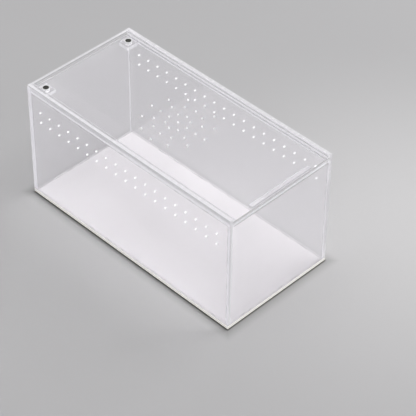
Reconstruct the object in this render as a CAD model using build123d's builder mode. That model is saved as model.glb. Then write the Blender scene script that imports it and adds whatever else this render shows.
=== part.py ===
# Clear acrylic reptile terrarium: a white base plate, four cemented clear walls, two pairs of glued rails that make
# the grooves of a sliding lid, two magnet blocks at the closed end, and the lid with its own magnets, vent holes and
# pull strip. Millimetres. The origin is the centre of the base's underside, +X points to the end that the lid slides
# out of, +Y to the back and +Z up. The lid is drawn closed.
from build123d import *
import os

# Outer size of the box
length = 308.0
width = 151.0
height = 152.0

# Sheets and strips
wall_sheet = 4.0
base_sheet = 4.0
lid_sheet = 3.0
rail_width = 3.0
rail_height = 3.0

# Running clearances of the lid: above and below it, beside it, and at its closed end
lid_gap_z = 0.3
lid_gap_y = 0.5
lid_gap_x = 0.5

# Small bevel of the polished edges
edge_bevel = 0.3

# Magnet discs, press-fitted in drilled holes
magnet_diameter = 8.0
magnet_height = 3.0
magnet_fit = 0.05
magnet_bevel = 0.3

# Magnet blocks, on the lower rails at the closed end
block_side = 15.0
block_height = 5.0
block_end_gap = 2.5
block_corner = 1.0

# Vent holes are drawn with this many flat sides
vent_sides = 24

# Vent holes of the long walls: rows below the top edge, columns centred on the length
wall_vent_diameter = 2.0
vent_columns = 19
vent_column_pitch = 15.0
vent_rows = 2
vent_row_pitch = 13.5
vent_top_row_drop = 28.5

# Vent holes of the lid: a centre hole and rings round it
lid_vent_diameter = 2.0
lid_vent_ring_pitch = 13.3
lid_vent_ring_counts = (8, 12, 12)

# Pull strip on the lid's open end
strip_length = 88.0
strip_width = 6.0
strip_height = 3.0
strip_corner = 1.0

# Levels, from the underside of the base
wall_foot = base_sheet
lid_groove = lid_sheet + 2 * lid_gap_z
upper_rail_bottom = height - rail_height
lid_bottom = upper_rail_bottom - lid_gap_z - lid_sheet
lid_top = lid_bottom + lid_sheet
lower_rail_top = upper_rail_bottom - lid_groove
lower_rail_bottom = lower_rail_top - rail_height
block_bottom = lower_rail_top - block_height

vent_centre_z = height - vent_top_row_drop - (vent_rows - 1) * vent_row_pitch / 2

# Places along the length
left_wall_x = -length / 2 + wall_sheet / 2
right_wall_x = length / 2 - wall_sheet / 2
left_inner_face = -length / 2 + wall_sheet
rail_length = length / 2 - left_inner_face
rail_x = left_inner_face + rail_length / 2
lid_left_end = left_inner_face + lid_gap_x
lid_length = length / 2 - lid_left_end
lid_x = lid_left_end + lid_length / 2
magnet_x = left_inner_face + block_end_gap + block_side / 2
strip_x = length / 2 - strip_width / 2

# Places across the width
inner_width = width - 2 * wall_sheet
wall_y = width / 2 - wall_sheet / 2
rail_y = inner_width / 2 - rail_width / 2
lid_width = inner_width - 2 * lid_gap_y
magnet_y = inner_width / 2 - rail_width - block_side / 2

sides = {"front": -1, "back": 1}

os.makedirs("parts", exist_ok=True)

# Base plate: white sheet under the whole box; the walls stand on it, flush with its edges
with BuildPart() as base_plate:
    with BuildSketch():
        Rectangle(length, width)
    extrude(amount=base_sheet)
    chamfer(base_plate.faces().sort_by(Axis.Z)[0].edges(), edge_bevel)
base_plate.part.label = "base_plate"
export_step(base_plate.part, "parts/base_plate.step")

# Long walls: the full length of the box, with two rows of vent holes near the top
for name, side in sides.items():
    outer_face = Plane(origin=(0, side * width / 2, vent_centre_z), x_dir=(1, 0, 0), z_dir=(0, side, 0))
    with BuildPart() as long_wall:
        with BuildSketch(Plane.XY.offset(wall_foot)):
            with Locations((0, side * wall_y)):
                Rectangle(length, wall_sheet)
        extrude(amount=height - wall_foot)
        top_edges = long_wall.faces().sort_by(Axis.Z)[-1].edges()
        outer_top_edge = top_edges.filter_by(Axis.X).sort_by(Axis.Y)[0 if side < 0 else -1]
        chamfer(outer_top_edge, edge_bevel)
        with BuildSketch(outer_face):
            with GridLocations(vent_column_pitch, vent_row_pitch, vent_columns, vent_rows):
                RegularPolygon(wall_vent_diameter / 2, vent_sides)
        extrude(amount=-wall_sheet, mode=Mode.SUBTRACT)
    long_wall.part.label = f"{name}_wall"
    export_step(long_wall.part, f"parts/{name}_wall.step")

# End walls, between the long walls: the left one closes the grooves and is as high as the long walls, the right one
# stops under the lower rails, so that the lid passes over it
for name, centre_x, top in (("left", left_wall_x, height), ("right", right_wall_x, lower_rail_bottom)):
    with BuildPart() as end_wall:
        with BuildSketch(Plane.XY.offset(wall_foot)):
            with Locations((centre_x, 0)):
                Rectangle(wall_sheet, inner_width)
        extrude(amount=top - wall_foot)
        chamfer(end_wall.faces().sort_by(Axis.Z)[-1].edges().filter_by(Axis.Y), edge_bevel)
    end_wall.part.label = f"{name}_end_wall"
    export_step(end_wall.part, f"parts/{name}_end_wall.step")

# Rails: strips glued along the long walls, from the left end wall to the open end; the lid runs between the pairs
for name, side in sides.items():
    for level, bottom in (("upper", upper_rail_bottom), ("lower", lower_rail_bottom)):
        with BuildPart() as rail:
            with BuildSketch(Plane.XY.offset(bottom)):
                with Locations((rail_x, side * rail_y)):
                    Rectangle(rail_length, rail_width)
            extrude(amount=rail_height)
            inner_face = rail.faces().sort_by(Axis.Y)[-1 if side < 0 else 0]
            chamfer(inner_face.edges().filter_by(Axis.X), edge_bevel)
        rail.part.label = f"{name}_{level}_rail"
        export_step(rail.part, f"parts/{name}_{level}_rail.step")

# Magnet blocks: square, cemented to the lower rails' inner faces, bored through for a magnet
for name, side in sides.items():
    with BuildPart() as block:
        with BuildSketch(Plane.XY.offset(block_bottom)):
            with Locations((magnet_x, side * magnet_y)):
                Rectangle(block_side, block_side)
        extrude(amount=block_height)
        fillet(block.edges().filter_by(Axis.Z).group_by(Axis.Y)[-1 if side < 0 else 0], block_corner)
        chamfer(block.faces().sort_by(Axis.Z)[-1].edges(), edge_bevel)
        with Locations((magnet_x, side * magnet_y, lower_rail_top)):
            Hole(magnet_diameter / 2 + magnet_fit, depth=block_height)
    block.part.label = f"{name}_magnet_block"
    export_step(block.part, f"parts/{name}_magnet_block.step")

# Magnets: bevelled discs, one in each block, flush with its underside, and one above it in the lid
for name, side in sides.items():
    for node, bottom in ((f"{name}_block_magnet", block_bottom), (f"{name}_lid_magnet", lid_bottom)):
        with BuildPart() as magnet:
            with BuildSketch(Plane.XY.offset(bottom)):
                with Locations((magnet_x, side * magnet_y)):
                    Circle(magnet_diameter / 2)
            extrude(amount=magnet_height)
            chamfer(magnet.edges().filter_by(GeomType.CIRCLE), magnet_bevel)
        magnet.part.label = node
        export_step(magnet.part, f"parts/{node}.step")

# Lid: clear sheet that slides in the grooves, with rings of vent holes round its centre and two magnet holes
with BuildPart() as lid_panel:
    with BuildSketch(Plane.XY.offset(lid_bottom)):
        with Locations((lid_x, 0)):
            Rectangle(lid_length, lid_width)
    extrude(amount=lid_sheet)
    chamfer(lid_panel.edges().filter_by(Axis.Y), edge_bevel)
    with BuildSketch(Plane(origin=(lid_x, 0, lid_top))):
        RegularPolygon(lid_vent_diameter / 2, vent_sides)
        for ring, count in enumerate(lid_vent_ring_counts, start=1):
            with PolarLocations(ring * lid_vent_ring_pitch, count):
                RegularPolygon(lid_vent_diameter / 2, vent_sides)
    extrude(amount=-lid_sheet, mode=Mode.SUBTRACT)
    with Locations([(magnet_x, side * magnet_y, lid_top) for side in sides.values()]):
        Hole(magnet_diameter / 2 + magnet_fit, depth=lid_sheet)
lid_panel.part.label = "lid_panel"
export_step(lid_panel.part, "parts/lid_panel.step")

# Pull strip: glued on top of the lid, flush with its open end
with BuildPart() as pull_strip:
    with BuildSketch(Plane.XY.offset(lid_top)):
        with Locations((strip_x, 0)):
            Rectangle(strip_width, strip_length)
    extrude(amount=strip_height)
    fillet(pull_strip.edges().filter_by(Axis.Z).group_by(Axis.X)[0], strip_corner)
    chamfer(pull_strip.faces().sort_by(Axis.Z)[-1].edges(), edge_bevel)
pull_strip.part.label = "lid_pull_strip"
export_step(pull_strip.part, "parts/lid_pull_strip.step")
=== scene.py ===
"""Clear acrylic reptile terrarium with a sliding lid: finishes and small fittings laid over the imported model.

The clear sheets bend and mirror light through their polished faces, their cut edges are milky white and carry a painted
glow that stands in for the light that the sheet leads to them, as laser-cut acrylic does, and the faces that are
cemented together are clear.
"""
import math

import bmesh
import bpy
from bpy.props import FloatProperty, FloatVectorProperty, IntProperty, PointerProperty
from mathutils import Matrix, Vector


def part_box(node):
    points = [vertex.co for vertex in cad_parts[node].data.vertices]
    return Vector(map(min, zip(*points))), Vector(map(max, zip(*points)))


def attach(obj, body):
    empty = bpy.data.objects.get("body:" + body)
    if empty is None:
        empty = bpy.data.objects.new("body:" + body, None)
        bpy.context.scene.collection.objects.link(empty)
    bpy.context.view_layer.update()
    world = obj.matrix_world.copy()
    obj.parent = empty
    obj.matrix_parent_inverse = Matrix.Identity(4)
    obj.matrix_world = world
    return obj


bl_info = {
    "name": "Acrylic reptile terrarium",
    "version": (1, 0, 0),
    "blender": (4, 5, 0),
    "location": "3D View > Sidebar > Terrarium",
    "description": "Finishes, cement seams and studio for a clear acrylic terrarium with a sliding lid",
    "category": "Object",
}

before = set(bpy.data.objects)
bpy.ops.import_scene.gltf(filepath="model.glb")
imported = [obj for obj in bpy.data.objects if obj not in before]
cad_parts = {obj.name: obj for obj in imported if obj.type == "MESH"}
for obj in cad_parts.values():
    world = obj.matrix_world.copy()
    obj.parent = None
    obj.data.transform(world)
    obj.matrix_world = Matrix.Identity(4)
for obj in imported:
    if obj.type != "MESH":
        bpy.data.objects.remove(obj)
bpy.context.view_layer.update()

SIDES = {"front": -1, "back": 1}

# CAD nodes that share a finish
LONG_WALLS = ("front_wall", "back_wall")
END_WALLS = ("left_end_wall", "right_end_wall")
RAILS = ("front_upper_rail", "front_lower_rail", "back_upper_rail", "back_lower_rail")
BLOCKS = ("front_magnet_block", "back_magnet_block")

# Each magnet and the body that it rides on
MAGNETS = {
    "front_block_magnet": "box",
    "back_block_magnet": "box",
    "front_lid_magnet": "lid",
    "back_lid_magnet": "lid",
}

# Directions in the frame, and in each piece's own axes
LENGTHWISE = (1.0, 0.0, 0.0)
WIDTHWISE = (0.0, 1.0, 0.0)
UPWARD = (0.0, 0.0, 1.0)

# Refractive index of acrylic and of its cement
ACRYLIC_IOR = 1.49

# Steepness and height in metres of the cutting marks' relief
MARK_STEEPNESS = 0.4
MARK_HEIGHT = 0.0002

# Share of a lamp's light that a clear sheet lets by, and what full cover takes from it
LIGHT_LET_BY = 0.91
LIGHT_HELD_BACK = 0.6

# Painted glow (emission) on the polished faces and in the drilled bores, against that in the cut edges; it stands in
# for light that the sheet leads
FACE_PAINTED_GLOW = 0.35
BORE_PAINTED_GLOW = 0.8

# Least and most share of the milky tone over the cutting marks, and of a sheet's haze against its setting
MARK_TONE = (0.86, 1.0)
HAZE_SPREAD = (0.85, 1.25)

# How much a speck of dust and a hair scratch cover
SPECK_COVER = 0.5
HAIR_COVER = 0.10

# Roughness: a clear sheet's film on its faces and its cut edges; the base and the magnets' coating clean and smeared;
# and the least and most over the cement's flow and over the floor's grain
FILM_ROUGHNESS = (0.15, 0.28)
BASE_ROUGHNESS = (0.10, 0.17)
COATING_ROUGHNESS = (0.16, 0.30)
CEMENT_ROUGHNESS = (0.08, 0.2)
FLOOR_ROUGHNESS = (0.75, 0.9)

# What a scratch and a cut edge add to the roughness
SCRATCHED = 0.2
CUT = 0.2

# How much the cement's flow and its bubbles add to its cover
FLOW_COVER = 0.25
BUBBLE_COVER = 0.25

# Ranges of a normal's parts over which the masks of a sheet's surfaces ease in
LOOKING_DOWN = (-0.9, -0.8)
SQUARELY = (0.9, 0.98)
OFF_THE_EDGE = (0.3, 0.6)
NEAR_THE_FACE = (0.8, 0.95)
ROUND_TO_FLAT = (0.992, 0.999)

# Repeats of each pattern to the metre
SCALES = {
    "scratch runs": 38.0,
    "grains of dust": 260.0,
    "places of dust": 90.0,
    "casting": 9.0,
    "pressed powder": 1800.0,
    "bubbles": 900.0,
    "cement flow": 120.0,
    "paper": 700.0,
}

# The two ways that hair scratches run: a turn in radians and how densely they lie along each axis
HAIRS = (((0.5, 0.3, 0.6), (900, 30, 900)), ((-0.7, 0.4, -0.5), (40, 1200, 1200)))

# Tones beside those in the settings
BLACK = (0.0, 0.0, 0.0)
CUT_DARK = (0.215, 0.213, 0.22)
BORE_WHITE = (0.97, 0.97, 0.97)
SMEAR_WHITE = (0.97, 0.97, 0.98)
# Tint of the painted glow (emission) in the clear sheets, which stands in for light that the sheet leads
PAINTED_GLOW_TINT = (0.92, 0.905, 0.94)
POLISHED_TINT = (0.993, 0.989, 1.0)
BASE_SHADE = (0.725, 0.703, 0.722)
BASE_WIPED = (0.705, 0.685, 0.70)
BASE_DUST = (0.50, 0.48, 0.47)
CREAM_DARK = (0.90, 0.88, 0.83)
CREAM_LIGHT = (0.95, 0.935, 0.89)
COATING_GREY = (0.030, 0.029, 0.022)
COATING_RUBBED = (0.13, 0.125, 0.11)
COATING_DUST = (0.22, 0.21, 0.20)
BUBBLE_WHITE = (0.97, 0.97, 0.97)
# Painted shade: the floor's colour towards the back
FLOOR_PAINTED_BACK_TONE = (0.39, 0.388, 0.393)
FLOOR_GRAIN = (0.40, 0.40, 0.40)
FLOOR_SHADE = (0.02, 0.02, 0.015)
SKY_TINT = (1.0, 0.995, 1.0, 1.0)

# Floor: how far it lies under the base plate, the reach of its painted pool of light, and where and how far its painted
# shade darkens it towards the back, in metres and as a share
FLOOR_DROP = 0.0008
PAINTED_POOL_REACH = 0.36
PAINTED_BACK_SHADE_REACH = 0.45
PAINTED_BACK_SHADE_DEPTH = 0.5

# Shade beside the base plate's foot: reach in metres and depth of the contact line and of the soft shade
CONTACT_LINE = (0.002, 0.5)
SOFT_SHADE = (0.014, 0.30)

# The large lamp overhead: where it hangs and what it is aimed at
LAMP_PLACE = (0.5, 1.6, 2.2)
LAMP_AIM = (0.0, 0.0, 0.05)

# Length of the box in metres, the unit that the camera's place is measured in, and the camera's sensor in mm
BOX_LENGTH = 0.308
SENSOR_WIDTH = 36.0

# Layout of a node tree: the step between nodes, and where its shader and its output stand
NODE_STEP = 190
SHADER_PLACE = (3600, 0)
OUTPUT_PLACE = (4300, 0)


# Node trees


class Bench:
    """A node tree with short calls for adding and joining its nodes."""

    def __init__(self, tree):
        self.tree = tree
        self.column = 0

    def add(self, kind, label="", **settings):
        """A new node, set to the right of the last, with its properties."""
        made = self.tree.nodes.new(kind)
        made.location = (self.column * NODE_STEP, 0)
        made.label = label
        self.column += 1
        for name, value in settings.items():
            setattr(made, name, value)
        return made

    def join(self, source, target):
        self.tree.links.new(source, target)

    def coordinates(self):
        """The piece's own place in metres."""
        return self.add("ShaderNodeTexCoord", "Place on the piece").outputs["Object"]

    def noise(self, place, scale, detail=2.0, label=""):
        """A cloudy value from 0 to 1."""
        made = self.add("ShaderNodeTexNoise", label)
        made.inputs["Scale"].default_value = scale
        made.inputs["Detail"].default_value = detail
        self.join(place, made.inputs["Vector"])
        return made.outputs["Fac"]

    def stretch(self, place, scale, turn=(0, 0, 0), label=""):
        """Coordinates scaled and turned, for a pattern with a direction."""
        made = self.add("ShaderNodeMapping", label)
        made.inputs["Scale"].default_value = scale
        made.inputs["Rotation"].default_value = turn
        self.join(place, made.inputs["Vector"])
        return made.outputs["Vector"]

    def maths(self, operation, a, b=0.0, label="", clamp=False):
        """The result of one operation; each of a and b is a number or a socket."""
        made = self.add("ShaderNodeMath", label, operation=operation, use_clamp=clamp)
        for socket, value in zip(made.inputs, (a, b)):
            if isinstance(value, (int, float)):
                socket.default_value = value
            else:
                self.join(value, socket)
        return made.outputs[0]

    def ramp(self, value, low, high, to_low=0.0, to_high=1.0, label=""):
        """A value eased from to_low at low to to_high at high."""
        made = self.add("ShaderNodeMapRange", label, interpolation_type="SMOOTHSTEP")
        made.inputs["From Min"].default_value = low
        made.inputs["From Max"].default_value = high
        for name, end in (("To Min", to_low), ("To Max", to_high)):
            if isinstance(end, (int, float)):
                made.inputs[name].default_value = end
            else:
                self.join(end, made.inputs[name])
        self.join(value, made.inputs["Value"])
        return made.outputs["Result"]

    def tint(self, share, low, high, label=""):
        """A colour between low and high; each is a colour or a socket."""
        made = self.add("ShaderNodeMix", label, data_type="RGBA")
        self.join(share, made.inputs["Factor"])
        for socket, value in ((made.inputs[6], low), (made.inputs[7], high)):
            if isinstance(value, bpy.types.NodeSocket):
                self.join(value, socket)
            else:
                socket.default_value = (*value, 1.0)
        return made.outputs[2]

    def bump(self, height, strength, distance, label=""):
        """A normal tilted by a relief."""
        made = self.add("ShaderNodeBump", label)
        made.inputs["Strength"].default_value = strength
        made.inputs["Distance"].default_value = distance
        self.join(height, made.inputs["Height"])
        return made.outputs["Normal"]

    def group(self, effect, label="", **values):
        """One of the shared effects; each value is an input, named with underscores for its spaces."""
        made = self.add("ShaderNodeGroup", label, node_tree=effect)
        for name, value in values.items():
            made.inputs[name.replace("_", " ").capitalize()].default_value = value
        return made


def effect(name, inputs, outputs):
    """A new node group with named inputs and outputs, and its bench."""
    tree = bpy.data.node_groups.new(name, "ShaderNodeTree")
    for label, kind, value in inputs:
        socket = tree.interface.new_socket(label, in_out="INPUT", socket_type=kind)
        socket.default_value = value
    for label, kind in outputs:
        tree.interface.new_socket(label, in_out="OUTPUT", socket_type=kind)
    bench = Bench(tree)
    source = bench.add("NodeGroupInput")
    sink = tree.nodes.new("NodeGroupOutput")
    sink.location = OUTPUT_PLACE
    return tree, bench, source.outputs, sink.inputs


FLOAT, VECTOR = "NodeSocketFloat", "NodeSocketVector"


def sheet_surface_effect():
    """Tells a sheet's cut edges, arrises and cemented faces from its polished faces, by which way each looks."""
    tree, bench, given, out = effect(
        "Sheet surfaces",
        [
            ("Across the sheet", VECTOR, UPWARD),
            ("Foot cemented", FLOAT, 0.0),
            ("Sides cemented", FLOAT, 0.0),
        ],
        [("Cut edge", FLOAT), ("Bore", FLOAT), ("Looks up", FLOAT), ("Arris", FLOAT), ("Cemented", FLOAT)],
    )
    facing = bench.add("ShaderNodeNewGeometry").outputs["True Normal"]
    turned = bench.add(
        "ShaderNodeVectorTransform", "In the piece's own axes", vector_type="NORMAL",
        convert_from="WORLD", convert_to="OBJECT",
    )
    bench.join(facing, turned.inputs[0])
    looks = bench.add("ShaderNodeSeparateXYZ", "Way it looks")
    bench.join(turned.outputs[0], looks.inputs[0])
    sizes = [bench.maths("ABSOLUTE", looks.outputs[i]) for i in range(3)]
    squarest = bench.maths("MAXIMUM", bench.maths("MAXIMUM", sizes[0], sizes[1]), sizes[2], "Squarest axis")

    down = bench.ramp(looks.outputs["Z"], *LOOKING_DOWN, 1.0, 0.0, "Looks down")
    cemented = bench.maths("MULTIPLY", down, given["Foot cemented"], "Cemented")
    bench.join(cemented, out["Cemented"])
    bench.join(bench.ramp(looks.outputs["Z"], *SQUARELY), out["Looks up"])

    along = bench.add("ShaderNodeVectorMath", "Share across the sheet", operation="DOT_PRODUCT")
    bench.join(turned.outputs[0], along.inputs[0])
    bench.join(given["Across the sheet"], along.inputs[1])
    face = bench.maths("ABSOLUTE", along.outputs["Value"], label="Polished face")
    milky = bench.ramp(face, *OFF_THE_EDGE, 1.0, 0.0, "Milky")
    sides = bench.maths("MULTIPLY", bench.ramp(sizes[1], *SQUARELY), given["Sides cemented"])
    free = bench.maths("SUBTRACT", 1.0, bench.maths("MAXIMUM", cemented, sides), "Free")
    cut = bench.maths("MULTIPLY", milky, free, "Cut edge")
    bench.join(cut, out["Cut edge"])
    curved = bench.ramp(squarest, *ROUND_TO_FLAT, 1.0, 0.0, "Round")
    bench.join(bench.maths("MULTIPLY", cut, curved), out["Bore"])
    slanted = bench.maths("MULTIPLY", bench.ramp(face, *OFF_THE_EDGE), bench.ramp(face, *NEAR_THE_FACE, 1.0, 0.0))
    bench.join(slanted, out["Arris"])
    return tree


def scratch_effect():
    """Hair scratches from wiping, in two crossing directions and broken into short runs."""
    tree, bench, given, out = effect(
        "Hair scratches",
        [("Density", FLOAT, 0.5)],
        [("Mask", FLOAT)],
    )
    place = bench.coordinates()
    limit = bench.maths("SUBTRACT", 0.80, bench.maths("MULTIPLY", given["Density"], 0.12), "Thinning")
    found = []
    for turn, scale in HAIRS:
        hairs = bench.noise(bench.stretch(place, scale, turn), 1.0, 1.0, "Hairs")
        runs = bench.ramp(bench.noise(place, SCALES["scratch runs"], 1.0, "Runs"), 0.45, 0.65)
        found.append(bench.maths("MULTIPLY", bench.maths("GREATER_THAN", hairs, limit), runs))
    bench.join(bench.maths("MAXIMUM", found[0], found[1]), out["Mask"])
    return tree


def dust_effect():
    """Specks of dust and broad, faint wiping smears."""
    tree, bench, given, out = effect(
        "Dust",
        [("Specks", FLOAT, 0.5), ("Smears", FLOAT, 0.5)],
        [("Specks", FLOAT), ("Smears", FLOAT)],
    )
    place = bench.coordinates()
    grains = bench.add("ShaderNodeTexVoronoi", "Grains")
    grains.inputs["Scale"].default_value = SCALES["grains of dust"]
    bench.join(place, grains.inputs["Vector"])
    speck = bench.ramp(grains.outputs["Distance"], 0.03, 0.11, 1.0, 0.0, "Speck")
    settled = bench.noise(place, SCALES["places of dust"], 1.0, "Where dust settles")
    here = bench.ramp(settled, 0.52, 0.68)
    bench.join(bench.maths("MULTIPLY", bench.maths("MULTIPLY", speck, here), given["Specks"]), out["Specks"])
    wipe = bench.noise(bench.stretch(place, (6, 22, 14), (0.3, 0.2, 0.5), "Wiping"), 1.0, 4.0, "Smears")
    bench.join(bench.maths("MULTIPLY", bench.ramp(wipe, 0.35, 0.75), given["Smears"]), out["Smears"])
    return tree


def striation_effect():
    """Fine upright marks that a cutting beam leaves across a cut edge."""
    tree, bench, given, out = effect(
        "Cutting marks",
        [("Across the sheet", VECTOR, UPWARD), ("Pitch", FLOAT, 0.0011)],
        [("Height", FLOAT)],
    )
    place = bench.coordinates()
    cross = bench.add("ShaderNodeVectorMath", "Depth in the sheet", operation="MULTIPLY")
    bench.join(place, cross.inputs[0])
    bench.join(given["Across the sheet"], cross.inputs[1])
    flat = bench.add("ShaderNodeVectorMath", "Place along the edge", operation="SUBTRACT")
    bench.join(place, flat.inputs[0])
    bench.join(cross.outputs[0], flat.inputs[1])
    dense = bench.add("ShaderNodeVectorMath", "Marks to the metre", operation="SCALE")
    bench.join(flat.outputs[0], dense.inputs[0])
    bench.join(bench.maths("DIVIDE", 1.0, given["Pitch"]), dense.inputs["Scale"])
    bench.join(bench.noise(dense.outputs[0], 1.0, 3.0, "Marks"), out["Height"])
    return tree


class Effects:
    """The shared node groups, each built when it is first asked for."""

    makers = {
        "surfaces": sheet_surface_effect,
        "scratches": scratch_effect,
        "dust": dust_effect,
        "marks": striation_effect,
    }
    built = {}

    @classmethod
    def get(cls, name):
        if name not in cls.built:
            cls.built[name] = cls.makers[name]()
        return cls.built[name]


def new_material(name):
    """An empty material with its Principled shader and output, and its bench."""
    material = bpy.data.materials.new(name)
    material.use_nodes = True
    material.node_tree.nodes.clear()
    bench = Bench(material.node_tree)
    shader = material.node_tree.nodes.new("ShaderNodeBsdfPrincipled")
    shader.location = SHADER_PLACE
    output = material.node_tree.nodes.new("ShaderNodeOutputMaterial")
    output.location = OUTPUT_PLACE
    return material, bench, shader, output


def clear_acrylic(name, across, haze, foot=0.0, sides=0.0, milk=1.0, light=1.0):
    """Clear cast acrylic sheet; across is the direction of its thickness.

    haze is how much its polished faces cover. foot is 1 where its underside is cemented down, and sides is how well
    cement clears its cut edges that look along the width. milk is how milky its cut edges are, and light how strong
    their painted glow is, against those of the walls.
    """
    settings = bpy.context.scene.terrarium_clear
    material, bench, satin, output = new_material(name)
    surfaces = bench.group(
        Effects.get("surfaces"), "Sheet surfaces",
        across_the_sheet=across, foot_cemented=foot, sides_cemented=sides,
    )
    cut, arris = surfaces.outputs["Cut edge"], surfaces.outputs["Arris"]
    marks = bench.group(Effects.get("marks"), "Cutting marks", across_the_sheet=across)
    scratches = bench.group(Effects.get("scratches"), "Scratches", density=settings.scratches)
    dust = bench.group(Effects.get("dust"), "Dust", specks=settings.dust, smears=0.5)

    line = bench.ramp(marks.outputs["Height"], 0.35, 0.65, *MARK_TONE, "Cutting marks")
    side_tone = bench.tint(line, CUT_DARK, tuple(settings.edge_colour), "Upright cut edge")
    # Painted light: the cut edges that look up are painted lighter than the upright ones
    square_tone = bench.tint(surfaces.outputs["Looks up"], side_tone, tuple(settings.top_edge_painted_light_colour), "Cut edge")
    edge_tone = bench.tint(surfaces.outputs["Bore"], square_tone, BORE_WHITE, "Drilled bore")
    body_tone = bench.tint(dust.outputs["Smears"], tuple(settings.face_colour), SMEAR_WHITE, "Face")
    sheet_tone = bench.tint(cut, body_tone, edge_tone, "Face or cut edge")
    # Painted shade: a dark line is painted along the arrises
    tone = bench.tint(arris, sheet_tone, tuple(settings.arris_painted_shade_colour), "Arris")
    bench.join(tone, satin.inputs["Base Color"])
    # Painted glow: emission in the cut edges, the bores and faintly in the faces stands in for light that the sheet
    # leads to them
    share = bench.ramp(surfaces.outputs["Bore"], 0.0, 1.0, 1.0, BORE_PAINTED_GLOW, "Less in the bores")
    glow = bench.ramp(cut, 0.0, 1.0, FACE_PAINTED_GLOW, share, "More in the cut edges")
    painted_glow_mask = bench.maths("MULTIPLY", glow, bench.maths("SUBTRACT", 1.0, arris), "Painted glow mask")
    led = bench.tint(painted_glow_mask, BLACK, PAINTED_GLOW_TINT, "Painted glow for light led by the sheet")
    bench.join(led, satin.inputs["Emission Color"])
    satin.inputs["Emission Strength"].default_value = settings.edge_painted_glow * light
    bench.join(bench.ramp(cut, 0.0, 1.0, *FILM_ROUGHNESS, "Roughness"), satin.inputs["Roughness"])
    height = bench.maths("MULTIPLY", marks.outputs["Height"], cut)
    bench.join(bench.bump(height, MARK_STEEPNESS, MARK_HEIGHT, "Marks"), satin.inputs["Normal"])
    satin.inputs["IOR"].default_value = ACRYLIC_IOR

    thin, thick = (haze * part for part in HAZE_SPREAD)
    hazy = bench.ramp(dust.outputs["Smears"], 0.0, 0.5, thin, thick, "Haze")
    specks = bench.maths("MULTIPLY", dust.outputs["Specks"], SPECK_COVER)
    hairs = bench.maths("MULTIPLY", scratches.outputs["Mask"], HAIR_COVER)
    face_cover = bench.maths("ADD", bench.maths("ADD", hazy, specks), hairs, "Cover of a face", clamp=True)
    edge_cover = bench.maths("MULTIPLY", line, settings.edge_cover * milk, "Cover of a cut edge")
    free_cover = bench.ramp(cut, 0.0, 1.0, face_cover, edge_cover, "Cover")
    cover = bench.ramp(arris, 0.0, 1.0, free_cover, settings.arris_painted_shade_cover, "Cover with the arrises")

    polished = bench.add("ShaderNodeBsdfPrincipled", "Polished")
    polished.inputs["Base Color"].default_value = (*POLISHED_TINT, 1.0)
    polished.inputs["Roughness"].default_value = 0.0
    polished.inputs["IOR"].default_value = ACRYLIC_IOR
    polished.inputs["Transmission Weight"].default_value = 1.0
    sheet = bench.add("ShaderNodeMixShader", "Polished or milky")
    bench.join(cover, sheet.inputs[0])
    bench.join(polished.outputs[0], sheet.inputs[1])
    bench.join(satin.outputs[0], sheet.inputs[2])

    lamps = bench.add("ShaderNodeLightPath").outputs["Is Shadow Ray"]
    let_by = bench.maths("SUBTRACT", LIGHT_LET_BY, bench.maths("MULTIPLY", cover, LIGHT_HELD_BACK), "Light let by")
    passed = bench.maths("MULTIPLY", lamps, let_by)
    clear = bench.add("ShaderNodeBsdfTransparent", "Clear")
    mixed = bench.add("ShaderNodeMixShader", "Lamps and cemented faces")
    bench.join(bench.maths("MAXIMUM", passed, surfaces.outputs["Cemented"]), mixed.inputs[0])
    bench.join(sheet.outputs[0], mixed.inputs[1])
    bench.join(clear.outputs[0], mixed.inputs[2])
    bench.join(mixed.outputs[0], output.inputs["Surface"])
    return material


def white_acrylic():
    """Opaque white gloss acrylic of the base plate, with a painted glow in its cut edge."""
    settings = bpy.context.scene.terrarium_base
    material, bench, shader, output = new_material("White gloss acrylic")
    edges = bench.group(Effects.get("surfaces"), "Sheet surfaces", across_the_sheet=UPWARD)
    marks = bench.group(Effects.get("marks"), "Cutting marks", across_the_sheet=UPWARD)
    scratches = bench.group(Effects.get("scratches"), "Scratches", density=0.6)
    dust = bench.group(Effects.get("dust"), "Dust", specks=0.6, smears=0.6)
    cast = bench.noise(bench.coordinates(), SCALES["casting"], 2.0, "Casting shade")
    white = bench.tint(bench.ramp(cast, 0.3, 0.7), tuple(settings.colour), BASE_SHADE, "Casting shade")
    wiped = bench.tint(dust.outputs["Smears"], white, BASE_WIPED, "Wiped")
    dusty = bench.tint(dust.outputs["Specks"], wiped, BASE_DUST, "Dust")
    cream = bench.tint(bench.ramp(marks.outputs["Height"], 0.3, 0.7), CREAM_DARK, CREAM_LIGHT, "Cream cut edge")
    tone = bench.tint(edges.outputs["Cut edge"], dusty, cream, "Face or cut edge")
    bench.join(tone, shader.inputs["Base Color"])
    # Painted glow: emission in the cream cut edge stands in for light that the white sheet leads to it
    led = bench.tint(edges.outputs["Cut edge"], BLACK, cream, "Painted glow of the cut edge")
    bench.join(led, shader.inputs["Emission Color"])
    shader.inputs["Emission Strength"].default_value = settings.edge_painted_glow
    rough = bench.ramp(dust.outputs["Smears"], 0.0, 0.6, *BASE_ROUGHNESS)
    scuffed = bench.maths("ADD", rough, bench.maths("MULTIPLY", scratches.outputs["Mask"], SCRATCHED))
    bench.join(
        bench.maths("ADD", scuffed, bench.maths("MULTIPLY", edges.outputs["Cut edge"], CUT)),
        shader.inputs["Roughness"],
    )
    height = bench.maths("MULTIPLY", marks.outputs["Height"], edges.outputs["Cut edge"])
    bench.join(bench.bump(height, MARK_STEEPNESS, MARK_HEIGHT, "Marks"), shader.inputs["Normal"])
    shader.inputs["IOR"].default_value = ACRYLIC_IOR
    bench.join(shader.outputs[0], output.inputs["Surface"])
    return material


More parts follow.
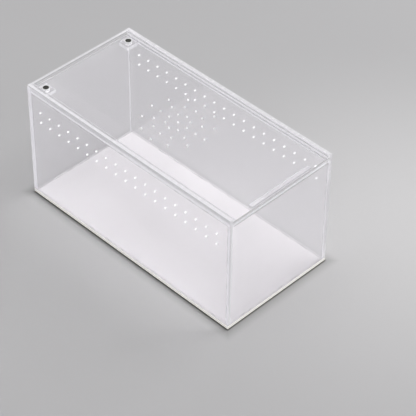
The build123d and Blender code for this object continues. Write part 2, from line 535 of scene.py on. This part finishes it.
def magnet_coating():
    """Black glossy coating over a pressed magnet disc, worn a little along its rim."""
    settings = bpy.context.scene.terrarium_magnets
    material, bench, shader, output = new_material("Black magnet coating")
    edges = bench.group(Effects.get("surfaces"), "Rim", across_the_sheet=UPWARD)
    scratches = bench.group(Effects.get("scratches"), "Scratches", density=0.9)
    dust = bench.group(Effects.get("dust"), "Dust", specks=0.7, smears=0.7)
    grain = bench.noise(bench.coordinates(), SCALES["pressed powder"], 3.0, "Pressed powder")
    black = bench.tint(bench.ramp(grain, 0.35, 0.7), tuple(settings.colour), COATING_GREY, "Coating")
    worn = bench.tint(edges.outputs["Arris"], black, COATING_RUBBED, "Rubbed rim")
    dusty = bench.tint(dust.outputs["Specks"], worn, COATING_DUST, "Dust")
    bench.join(dusty, shader.inputs["Base Color"])
    rough = bench.ramp(dust.outputs["Smears"], 0.0, 0.7, *COATING_ROUGHNESS)
    bench.join(
        bench.maths("ADD", rough, bench.maths("MULTIPLY", scratches.outputs["Mask"], SCRATCHED)),
        shader.inputs["Roughness"],
    )
    bench.join(bench.bump(grain, 0.25, 0.00008, "Pressed powder"), shader.inputs["Normal"])
    shader.inputs["Coat Weight"].default_value = 0.35
    shader.inputs["Coat Roughness"].default_value = 0.12
    bench.join(shader.outputs[0], output.inputs["Surface"])
    return material


def dried_cement(name, cover):
    """Dried solvent cement: clear, a little milky, with trapped bubbles; cover is how much it hides."""
    settings = bpy.context.scene.terrarium_cement
    material, bench, shader, output = new_material(name)
    place = bench.coordinates()
    bubbles = bench.add("ShaderNodeTexVoronoi", "Bubbles")
    bubbles.inputs["Scale"].default_value = SCALES["bubbles"]
    bench.join(place, bubbles.inputs["Vector"])
    bubble = bench.ramp(bubbles.outputs["Distance"], 0.12, 0.25, 1.0, 0.0, "Bubble")
    flow = bench.ramp(bench.noise(place, SCALES["cement flow"], 3.0, "Flow"), 0.35, 0.7, label="Flow")
    tone = bench.tint(bubble, tuple(settings.colour), BUBBLE_WHITE, "Bubbles")
    bench.join(tone, shader.inputs["Base Color"])
    milky = bench.maths(
        "ADD", bench.maths("MULTIPLY", flow, FLOW_COVER), bench.maths("MULTIPLY", bubble, BUBBLE_COVER)
    )
    bench.join(bench.maths("ADD", milky, cover, clamp=True), shader.inputs["Alpha"])
    bench.join(bench.ramp(flow, 0.0, 1.0, *CEMENT_ROUGHNESS), shader.inputs["Roughness"])
    bench.join(bench.bump(flow, 0.3, 0.0002, "Flow"), shader.inputs["Normal"])
    shader.inputs["IOR"].default_value = ACRYLIC_IOR
    bench.join(shader.outputs[0], output.inputs["Surface"])
    return material


# Pieces


def finish_nodes(names, material):
    """Puts a material in place of the material of each named CAD node."""
    for name in names:
        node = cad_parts[name]
        if not node.material_slots:
            raise RuntimeError(f"{name} has no material slot")
        for slot in node.material_slots:
            slot.material = material


def new_piece(name, shape, material, body):
    """A finished piece from a bmesh whose place is in its vertices."""
    bmesh.ops.recalc_face_normals(shape, faces=shape.faces)
    mesh = bpy.data.meshes.new(name)
    shape.to_mesh(mesh)
    shape.free()
    mesh.materials.append(material)
    piece = bpy.data.objects.new(name, mesh)
    bpy.context.scene.collection.objects.link(piece)
    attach(piece, body)


def add_bead(shape, start, end, out_a, out_b, radius, steps):
    """A hollow fillet of cement along a straight inner corner, from start to end.

    out_a and out_b look from the corner along the two walls that it joins.
    """
    corner = shape.verts.new(start)
    tip = shape.verts.new(start + out_a * radius)
    middle = start + (out_a + out_b) * radius
    turned = bmesh.ops.spin(
        shape, geom=[tip], cent=middle, axis=out_a.cross(out_b), angle=-math.pi / 2, steps=steps,
        use_merge=False, use_normal_flip=False,
    )
    last = turned["geom_last"][0]
    arc = list(tip.link_edges)
    rim = [tip]
    while arc:
        rim.append(arc[0].other_vert(rim[-1]))
        arc = [e for e in rim[-1].link_edges if e.other_vert(rim[-1]) not in rim]
    if rim[-1] is not last:
        raise RuntimeError("the bead's arc is broken")
    face = shape.faces.new([corner, *rim])
    bar = bmesh.ops.extrude_face_region(shape, geom=[face])
    moved = [g for g in bar["geom"] if isinstance(g, bmesh.types.BMVert)]
    bmesh.ops.translate(shape, verts=moved, vec=end - start)


def add_ring(shape, centre, inner, outer, height, segments):
    """A low ring of triangular section, flat below, with the middle of its underside at centre."""
    middle = (inner + outer) / 2
    section = [shape.verts.new(centre + Vector(place)) for place in ((inner, 0, 0), (middle, 0, height), (outer, 0, 0))]
    edges = [shape.edges.new((section[i - 1], section[i])) for i in range(3)]
    bmesh.ops.spin(
        shape, geom=[*section, *edges], cent=centre, axis=UPWARD, angle=math.tau,
        steps=segments, use_merge=True, use_normal_flip=False,
    )


# Settings


class ClearSettings(bpy.types.PropertyGroup):
    """Look of the clear sheets."""

    face_colour: FloatVectorProperty(
        name="Face colour", description="Colour of the faint haze on the polished faces",
        subtype="COLOR", size=3, default=(0.915, 0.895, 0.94), min=0, max=1,
    )
    edge_colour: FloatVectorProperty(
        name="Cut edge colour", description="Colour of the milky cut edges",
        subtype="COLOR", size=3, default=(0.335, 0.335, 0.345), min=0, max=1,
    )
    # Painted light: the cut edges that look up are painted lighter than the upright ones
    top_edge_painted_light_colour: FloatVectorProperty(
        name="Painted lighter top edge colour", description="Colour of the cut edges that look up",
        subtype="COLOR", size=3, default=(0.37, 0.37, 0.38), min=0, max=1,
    )
    # Painted shade: the dark line along a sharp edge is painted, not a colour of the acrylic
    arris_painted_shade_colour: FloatVectorProperty(
        name="Arris painted shade colour", description="Colour of the dark line along a sharp edge",
        subtype="COLOR", size=3, default=(0.28, 0.29, 0.28), min=0, max=1,
    )
    haze: FloatProperty(
        name="Haze", description="How much a wall's polished face covers what lies behind it",
        subtype="FACTOR", default=0.09, min=0, max=1,
    )
    lid_haze: FloatProperty(
        name="Lid haze", description="How much the lid's polished face covers what lies behind it",
        subtype="FACTOR", default=0.03, min=0, max=1,
    )
    strip_haze: FloatProperty(
        name="Strip haze", description="How much the pull strip's frosted face covers what lies behind it",
        subtype="FACTOR", default=0.14, min=0, max=1,
    )
    edge_cover: FloatProperty(
        name="Cut edge cover", description="How much a cut edge covers what lies behind it",
        subtype="FACTOR", default=0.80, min=0, max=1,
    )
    # Strength of the painted glow (emission) in the cut edges
    edge_painted_glow: FloatProperty(
        name="Light in the cut edges", description="How brightly the cut edges show the light that the sheet leads",
        default=0.50, min=0, max=1,
    )
    # Cover of the painted dark line along the arrises
    arris_painted_shade_cover: FloatProperty(
        name="Arris painted shade cover", description="How much the dark line covers what lies behind it",
        subtype="FACTOR", default=0.75, min=0, max=1,
    )
    scratches: FloatProperty(
        name="Scratches", description="How many hair scratches the faces carry",
        subtype="FACTOR", default=0.4, min=0, max=1,
    )
    dust: FloatProperty(
        name="Dust", description="How much dust lies on the faces",
        subtype="FACTOR", default=0.5, min=0, max=1,
    )


class BaseSettings(bpy.types.PropertyGroup):
    """Look of the white base plate."""

    colour: FloatVectorProperty(
        name="Colour", description="Colour of the white sheet",
        subtype="COLOR", size=3, default=(0.755, 0.733, 0.752), min=0, max=1,
    )
    # Strength of the painted glow (emission) in the base plate's cut edge
    edge_painted_glow: FloatProperty(
        name="Light in the cut edge", description="How brightly the cut edge shows the light that the sheet leads",
        default=0.30, min=0, max=1,
    )


class MagnetSettings(bpy.types.PropertyGroup):
    """Look of the magnets and the size of the cement rings round them."""

    colour: FloatVectorProperty(
        name="Colour", description="Colour of the magnets' coating",
        subtype="COLOR", size=3, default=(0.016, 0.016, 0.012), min=0, max=1,
    )
    ring_width: FloatProperty(
        name="Ring width", description="Width of the cement ring round a magnet",
        unit="LENGTH", default=0.0012, min=0.0001, max=0.002,
    )
    bore_gap: FloatProperty(
        name="Bore gap", description="Gap between a block's magnet and its bore, which the cement ring fills",
        unit="LENGTH", default=0.00005, min=0, max=0.0003,
    )
    ring_height: FloatProperty(
        name="Ring height", description="Height of the cement ring round a magnet",
        unit="LENGTH", default=0.0002, min=0.00005, max=0.0003,
    )
    ring_cover: FloatProperty(
        name="Ring cover", description="How much the cement ring covers what lies behind it",
        subtype="FACTOR", default=0.6, min=0, max=1,
    )
    ring_segments: IntProperty(
        name="Ring segments", description="Flat sides of a cement ring", default=48, min=12, max=128,
    )


class CementSettings(bpy.types.PropertyGroup):
    """Size and look of the cement seams."""

    bead: FloatProperty(
        name="Bead", description="Reach of a seam's fillet along each wall",
        unit="LENGTH", default=0.0009, min=0.0002, max=0.003,
    )
    steps: IntProperty(
        name="Steps", description="Flat sides of a seam's hollow", default=5, min=2, max=12,
    )
    colour: FloatVectorProperty(
        name="Colour", description="Colour of the dried cement",
        subtype="COLOR", size=3, default=(0.86, 0.87, 0.87), min=0, max=1,
    )
    cover: FloatProperty(
        name="Cover", description="How much the dried cement covers what lies behind it",
        subtype="FACTOR", default=0.12, min=0, max=1,
    )


class StudioSettings(bpy.types.PropertyGroup):
    """Floor, light and camera."""

    floor_dark: FloatVectorProperty(
        name="Floor colour", description="Colour of the floor away from its bright patch",
        subtype="COLOR", size=3, default=(0.455, 0.452, 0.458), min=0, max=1,
    )
    # Painted pool of light on the floor: its colour and, below, its middle
    painted_light_pool_colour: FloatVectorProperty(
        name="Bright patch colour", description="Colour of the floor in its bright patch",
        subtype="COLOR", size=3, default=(0.57, 0.565, 0.57), min=0, max=1,
    )
    painted_light_pool_place: FloatVectorProperty(
        name="Bright patch", description="Middle of the floor's bright patch",
        subtype="TRANSLATION", unit="LENGTH", size=3, default=(0.19, 0.19, 0.0),
    )
    floor_reach: FloatProperty(
        name="Floor reach", description="Half of the floor's side", unit="LENGTH", default=6.0, min=1, max=20,
    )
    softbox: FloatProperty(
        name="Softbox power", description="Power of the large lamp overhead", unit="POWER", default=46.0, min=0,
    )
    softbox_side: FloatProperty(
        name="Softbox side", description="Side of the large lamp overhead", unit="LENGTH", default=1.3, min=0.1,
    )
    sky: FloatProperty(
        name="Sky strength", description="Strength of the even light from all round", default=0.62, min=0,
    )
    lens: FloatProperty(
        name="Lens", description="Focal length on a 36 mm wide sensor", unit="CAMERA", default=153.6, min=10,
    )
    azimuth: FloatProperty(
        name="Azimuth", description="Turn of the camera round the terrarium",
        subtype="ANGLE", default=math.radians(44.56),
    )
    elevation: FloatProperty(
        name="Elevation", description="Height of the camera as an angle over the floor",
        subtype="ANGLE", default=math.radians(41.83),
    )
    roll: FloatProperty(
        name="Roll", description="Tilt of the camera round its line of sight",
        subtype="ANGLE", default=math.radians(0.73),
    )
    offset: FloatVectorProperty(
        name="Offset", description="Place of the terrarium before the camera: right, up and away",
        subtype="TRANSLATION", unit="LENGTH", size=3,
        default=(-0.1131 * BOX_LENGTH, -0.0604 * BOX_LENGTH, 6.426 * BOX_LENGTH),
    )


# Operators


class TERRARIUM_OT_stage(bpy.types.Operator):
    """Lay the floor and set up the lamps and the camera"""

    bl_idname = "terrarium.stage"
    bl_label = "Studio"

    def execute(self, context):
        settings = context.scene.terrarium_studio
        self.lay_floor(settings)
        self.hang_lamps(context, settings)
        self.set_camera(context, settings)
        return {"FINISHED"}

    def lay_floor(self, settings):
        shape = bmesh.new()
        bmesh.ops.create_grid(shape, x_segments=1, y_segments=1, size=settings.floor_reach)
        bmesh.ops.translate(shape, verts=shape.verts, vec=(0, 0, -FLOOR_DROP))
        mesh = bpy.data.meshes.new("studio_floor")
        shape.to_mesh(mesh)
        shape.free()
        floor = bpy.data.objects.new("studio_floor", mesh)
        bpy.context.scene.collection.objects.link(floor)
        material, bench, shader, output = new_material("Pale studio floor")
        place = bench.coordinates()
        # Painted pool of light: the floor's colour brightens round the patch's middle
        reach = bench.add("ShaderNodeVectorMath", "From the bright patch", operation="DISTANCE")
        bench.join(place, reach.inputs[0])
        reach.inputs[1].default_value = settings.painted_light_pool_place
        share = bench.ramp(reach.outputs["Value"], 0.0, PAINTED_POOL_REACH, 1.0, 0.0, "Bright patch")
        across = bench.add("ShaderNodeSeparateXYZ", "Place on the floor")
        bench.join(place, across.inputs[0])
        # Painted shade: the floor's colour darkens towards the back
        far = bench.ramp(across.outputs["Y"], 0.0, PAINTED_BACK_SHADE_REACH, 0.0, PAINTED_BACK_SHADE_DEPTH, "Towards the back")
        dark = bench.tint(far, tuple(settings.floor_dark), FLOOR_PAINTED_BACK_TONE, "Painted shade, darker at the back")
        sheet = bench.tint(share, dark, tuple(settings.painted_light_pool_colour), "Floor shade")
        grain = bench.noise(place, SCALES["paper"], 3.0, "Paper grain")
        mottled = bench.tint(bench.ramp(grain, 0.2, 0.8, 0.0, 0.06), sheet, FLOOR_GRAIN, "Paper grain")
        shade = self.shade_at_the_foot(bench, across.outputs)
        bench.join(bench.tint(shade, mottled, FLOOR_SHADE, "Shade at the foot"), shader.inputs["Base Color"])
        bench.join(bench.ramp(grain, 0.0, 1.0, *FLOOR_ROUGHNESS), shader.inputs["Roughness"])
        bench.join(bench.bump(grain, 0.1, 0.0001), shader.inputs["Normal"])
        shader.inputs["Specular IOR Level"].default_value = 0.2
        bench.join(shader.outputs[0], output.inputs["Surface"])
        mesh.materials.append(material)

    def shade_at_the_foot(self, bench, place):
        """How much the base plate's foot darkens the floor beside it."""
        low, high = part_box("base_plate")
        beyond = [
            bench.maths("SUBTRACT", bench.maths("ABSOLUTE", place[axis]), (high[axis] - low[axis]) / 2)
            for axis in (0, 1)
        ]
        gap = bench.maths("MAXIMUM", *beyond, "Way from the plate")
        line = bench.ramp(gap, 0.0, *CONTACT_LINE, 0.0, "Contact line")
        soft = bench.ramp(gap, 0.0, *SOFT_SHADE, 0.0, "Soft shade")
        return bench.maths("ADD", line, soft, "Shade", clamp=True)

    def hang_lamps(self, context, settings):
        softbox = bpy.data.lights.new("softbox", "AREA")
        softbox.shape = "SQUARE"
        softbox.size = settings.softbox_side
        softbox.energy = settings.softbox
        lamp = bpy.data.objects.new("softbox", softbox)
        lamp.location = LAMP_PLACE
        lamp.rotation_euler = (Vector(LAMP_AIM) - Vector(LAMP_PLACE)).to_track_quat("-Z", "Y").to_euler()
        lamp.visible_transmission = False
        context.scene.collection.objects.link(lamp)
        world = bpy.data.worlds.new("Even studio light")
        world.use_nodes = True
        sky = world.node_tree.nodes["Background"]
        sky.inputs["Color"].default_value = SKY_TINT
        sky.inputs["Strength"].default_value = settings.sky
        context.scene.world = world

    def set_camera(self, context, settings):
        azimuth, elevation = settings.azimuth, settings.elevation
        back = Vector((
            math.sin(azimuth) * math.cos(elevation), -math.cos(azimuth) * math.cos(elevation), math.sin(elevation)
        ))
        level = (-back).cross(Vector(UPWARD)).normalized()
        upright = level.cross(-back)
        right = math.cos(settings.roll) * level + math.sin(settings.roll) * upright
        up = math.cos(settings.roll) * upright - math.sin(settings.roll) * level
        lens = bpy.data.cameras.new("camera")
        lens.lens = settings.lens
        lens.sensor_width = SENSOR_WIDTH
        lens.sensor_fit = "HORIZONTAL"
        camera = bpy.data.objects.new("camera", lens)
        place = -(right * settings.offset[0] + up * settings.offset[1] - back * settings.offset[2])
        camera.matrix_world = Matrix.Translation(place) @ Matrix((right, up, back)).transposed().to_4x4()
        context.scene.collection.objects.link(camera)
        context.scene.camera = camera
        context.scene.view_settings.view_transform = "Standard"


class TERRARIUM_OT_walls(bpy.types.Operator):
    """Finish the four clear walls"""

    bl_idname = "terrarium.walls"
    bl_label = "Clear walls"

    def execute(self, context):
        haze = context.scene.terrarium_clear.haze
        long_walls = clear_acrylic("Clear acrylic, long walls", WIDTHWISE, haze, foot=1.0)
        end_walls = clear_acrylic("Clear acrylic, end walls", LENGTHWISE, haze, foot=1.0, sides=0.2)
        finish_nodes(LONG_WALLS, long_walls)
        finish_nodes(END_WALLS, end_walls)
        return {"FINISHED"}


class TERRARIUM_OT_rails(bpy.types.Operator):
    """Finish the rails and the magnet blocks"""

    bl_idname = "terrarium.rails"
    bl_label = "Rails and magnet blocks"

    def execute(self, context):
        haze = context.scene.terrarium_clear.lid_haze
        # The rails' cut edges get a stronger painted glow (light=1.12)
        finish_nodes(RAILS, clear_acrylic("Clear acrylic, rails", UPWARD, haze, milk=1.05, light=1.12))
        finish_nodes(BLOCKS, clear_acrylic("Clear acrylic, magnet blocks", UPWARD, haze))
        return {"FINISHED"}


class TERRARIUM_OT_lid(bpy.types.Operator):
    """Finish the sliding lid and its pull strip"""

    bl_idname = "terrarium.lid"
    bl_label = "Sliding lid"

    def execute(self, context):
        settings = context.scene.terrarium_clear
        panel = clear_acrylic("Clear acrylic, lid", UPWARD, settings.lid_haze)
        strip = clear_acrylic("Frosted acrylic, pull strip", UPWARD, settings.strip_haze, foot=1.0, milk=0.55)
        finish_nodes(("lid_panel",), panel)
        finish_nodes(("lid_pull_strip",), strip)
        return {"FINISHED"}


class TERRARIUM_OT_base_plate(bpy.types.Operator):
    """Finish the white base plate"""

    bl_idname = "terrarium.base_plate"
    bl_label = "White base plate"

    def execute(self, context):
        finish_nodes(("base_plate",), white_acrylic())
        return {"FINISHED"}


class TERRARIUM_OT_magnets(bpy.types.Operator):
    """Finish the magnets and lay a ring of cement round each"""

    bl_idname = "terrarium.magnets"
    bl_label = "Magnets"

    def execute(self, context):
        settings = context.scene.terrarium_magnets
        finish_nodes(MAGNETS, magnet_coating())
        cement = dried_cement("Milky cement round the magnets", settings.ring_cover)
        for name, body in MAGNETS.items():
            low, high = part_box(name)
            radius = (high.x - low.x) / 2
            centre = Vector(((low.x + high.x) / 2, (low.y + high.y) / 2, high.z))
            inner = radius - settings.ring_width / 2
            outer = inner + settings.ring_width if body == "lid" else radius + settings.bore_gap
            shape = bmesh.new()
            add_ring(shape, centre, inner, outer, settings.ring_height, settings.ring_segments)
            new_piece(f"{name}_cement_ring", shape, cement, body)
        return {"FINISHED"}


class TERRARIUM_OT_seams(bpy.types.Operator):
    """Lay the cement seams in the box's inner corners"""

    bl_idname = "terrarium.seams"
    bl_label = "Cement seams"

    def execute(self, context):
        settings = context.scene.terrarium_cement
        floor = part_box("base_plate")[1].z
        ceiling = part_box("front_lower_rail")[0].z
        left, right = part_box("left_end_wall")[1].x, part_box("right_end_wall")[0].x
        faces = {"front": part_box("front_wall")[1].y, "back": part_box("back_wall")[0].y}
        corners = bmesh.new()
        feet = bmesh.new()
        under_rails = bmesh.new()
        up, along = Vector(UPWARD), Vector(LENGTHWISE)
        ends = ((left, along), (right, -along))
        sizes = (settings.bead, settings.steps)
        for side, sign in SIDES.items():
            inward = Vector((0, -sign, 0))
            y = faces[side]
            add_bead(feet, Vector((left, y, floor)), Vector((right, y, floor)), up, inward, *sizes)
            add_bead(under_rails, Vector((left, y, ceiling)), Vector((right, y, ceiling)), -up, inward, *sizes)
            for x, off_the_end in ends:
                add_bead(corners, Vector((x, y, floor)), Vector((x, y, ceiling)), off_the_end, inward, *sizes)
        for x, off_the_end in ends:
            start, end = Vector((x, faces["front"], floor)), Vector((x, faces["back"], floor))
            add_bead(feet, start, end, off_the_end, up, *sizes)
        cement = dried_cement("Dried cement of the seams", settings.cover)
        new_piece("corner_cement_seams", corners, cement, "box")
        new_piece("foot_cement_seams", feet, cement, "box")
        new_piece("rail_cement_seams", under_rails, cement, "box")
        return {"FINISHED"}


OPERATORS = (
    TERRARIUM_OT_stage,
    TERRARIUM_OT_walls,
    TERRARIUM_OT_rails,
    TERRARIUM_OT_lid,
    TERRARIUM_OT_base_plate,
    TERRARIUM_OT_magnets,
    TERRARIUM_OT_seams,
)


class TERRARIUM_PT_panel(bpy.types.Panel):
    """The terrarium's pieces and settings."""

    bl_idname = "TERRARIUM_PT_panel"
    bl_label = "Acrylic terrarium"
    bl_space_type = "VIEW_3D"
    bl_region_type = "UI"
    bl_category = "Terrarium"

    def draw(self, context):
        for name, _ in SETTINGS:
            box = self.layout.box()
            group = getattr(context.scene, name)
            box.label(text=group.bl_rna.description)
            for key in type(group).__annotations__:
                box.prop(group, key)
        for operator in OPERATORS:
            self.layout.operator(operator.bl_idname)


SETTINGS = (
    ("terrarium_clear", ClearSettings),
    ("terrarium_base", BaseSettings),
    ("terrarium_magnets", MagnetSettings),
    ("terrarium_cement", CementSettings),
    ("terrarium_studio", StudioSettings),
)


def register():
    for name, group in SETTINGS:
        bpy.utils.register_class(group)
        setattr(bpy.types.Scene, name, PointerProperty(type=group))
    for operator in OPERATORS:
        bpy.utils.register_class(operator)
    bpy.utils.register_class(TERRARIUM_PT_panel)


def unregister():
    bpy.utils.unregister_class(TERRARIUM_PT_panel)
    for operator in reversed(OPERATORS):
        bpy.utils.unregister_class(operator)
    for name, group in reversed(SETTINGS):
        delattr(bpy.types.Scene, name)
        bpy.utils.unregister_class(group)


def main():
    """Builds everything in order."""
    register()
    bpy.ops.terrarium.stage()
    bpy.ops.terrarium.walls()
    bpy.ops.terrarium.rails()
    bpy.ops.terrarium.lid()
    bpy.ops.terrarium.base_plate()
    bpy.ops.terrarium.magnets()
    bpy.ops.terrarium.seams()


if __name__ == "__main__":
    main()
